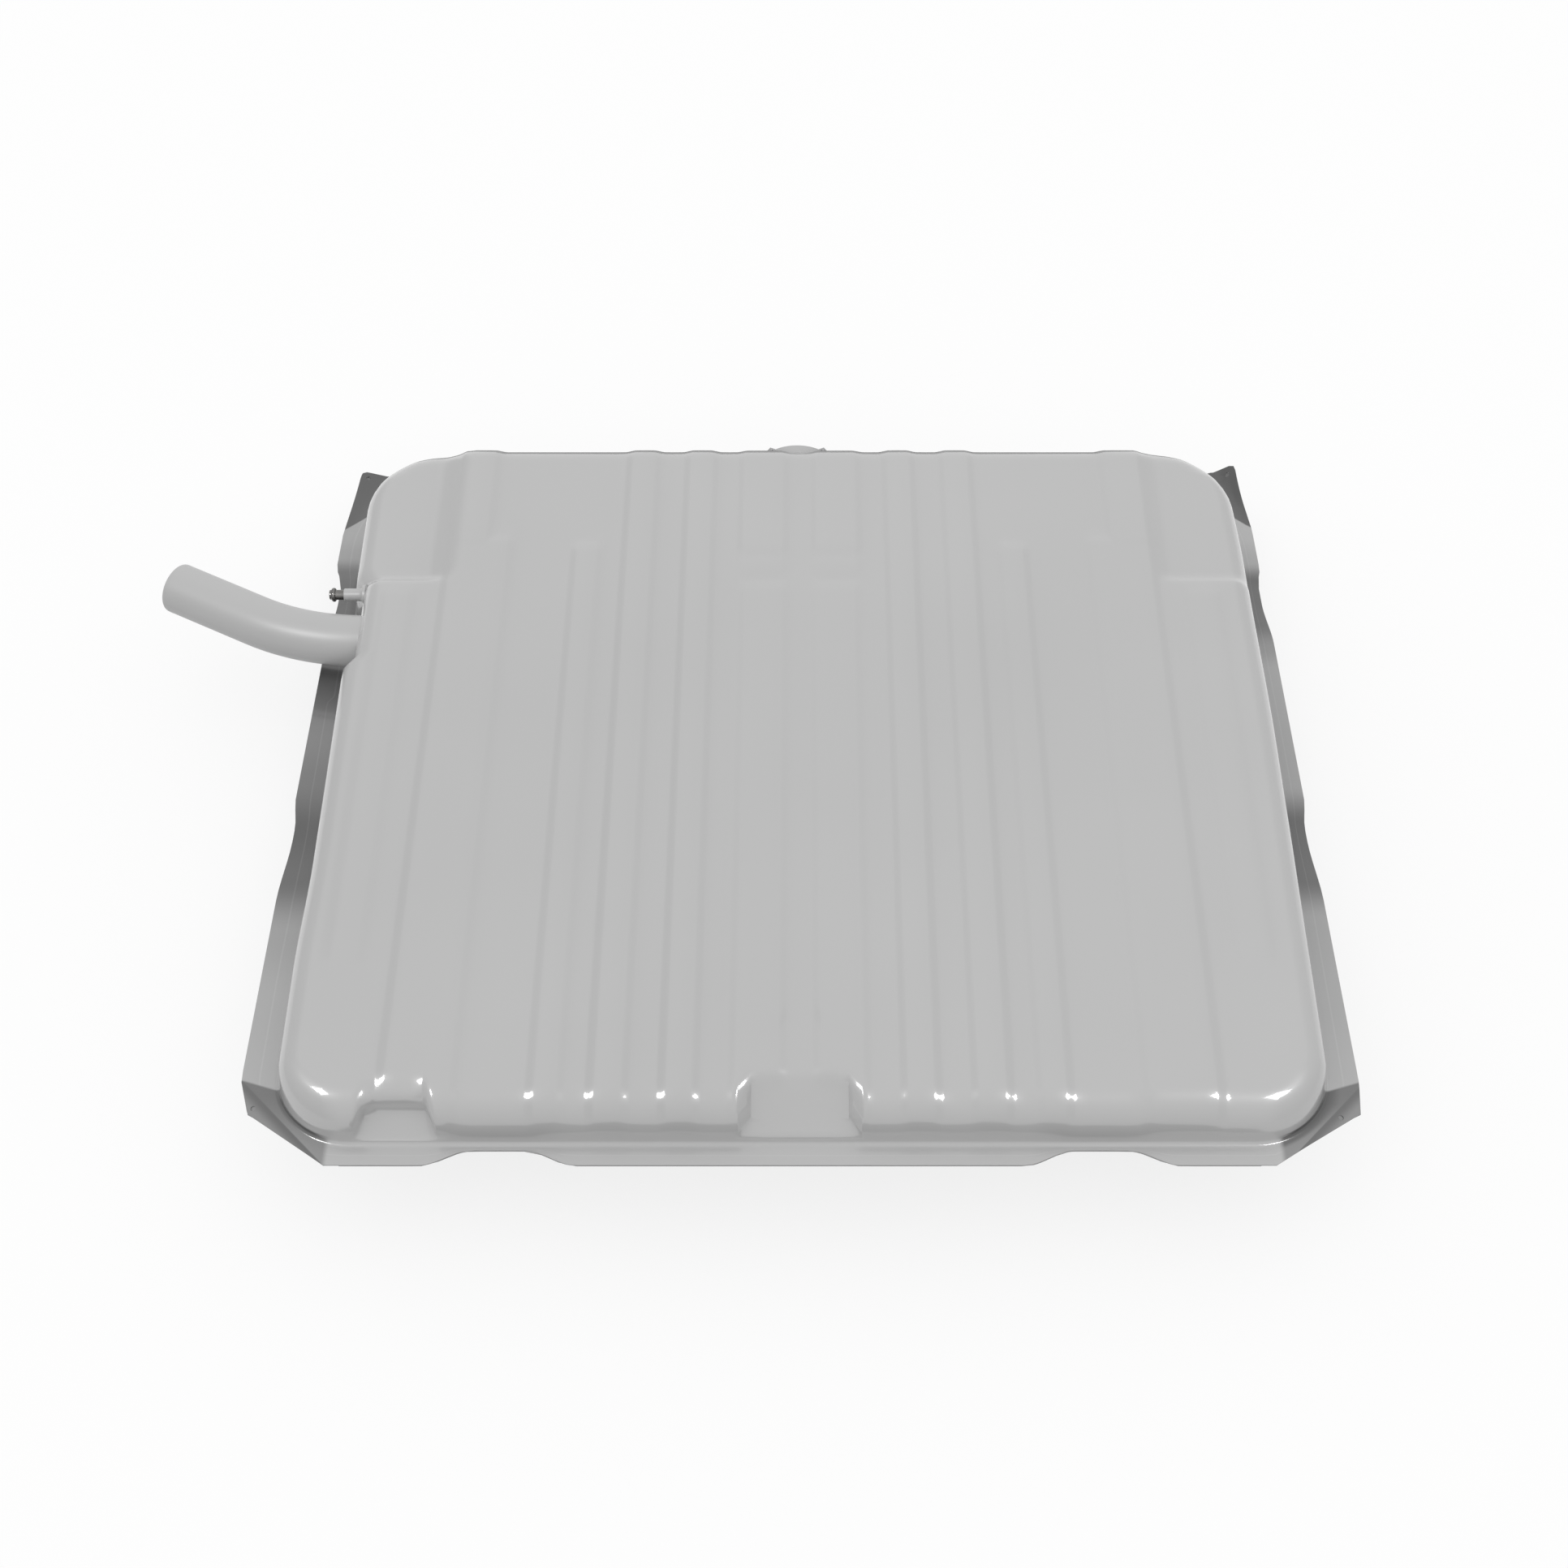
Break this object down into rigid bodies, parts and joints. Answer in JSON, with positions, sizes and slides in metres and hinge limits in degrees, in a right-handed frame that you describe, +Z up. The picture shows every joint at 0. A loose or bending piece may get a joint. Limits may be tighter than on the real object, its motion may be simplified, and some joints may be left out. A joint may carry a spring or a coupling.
{
  "type": "car fuel tank",
  "caption": "Flat drawn-steel fuel tank: ribbed upper pan seam-welded to a lower pan, bent side filler neck, vent stub, sender lock ring and drain.",
  "frame": {"origin": "on the flat underside, below the middle of the top panel", "axes": "+X to the tank's right as pictured, +Y from the plain front edge to the wall with the sender port, +Z up"},
  "size_m": [1.1211, 0.8509, 0.1435],
  "materials": {
    "silver_paint": "smooth semi-gloss silver-grey coat over drawn steel",
    "bare_steel": "bright drawn steel tube",
    "inner_steel": "plain coated steel inside the tank",
    "zinc_plug": "zinc-plated machined steel",
    "gasket_fibre": "dark fuel-proof fibre"
  },
  "bodies": {
    "root": {"upper_shell": "silver_paint", "lower_shell": "silver_paint", "filler_neck": "silver_paint", "vent_socket": "silver_paint", "vent_tube": "bare_steel", "sender_ring": "silver_paint", "baffle_left": "inner_steel", "baffle_right": "inner_steel", "drain_boss": "inner_steel", "drain_gasket": "gasket_fibre", "drain_plug": "zinc_plug"}
  },
  "joints": []
}
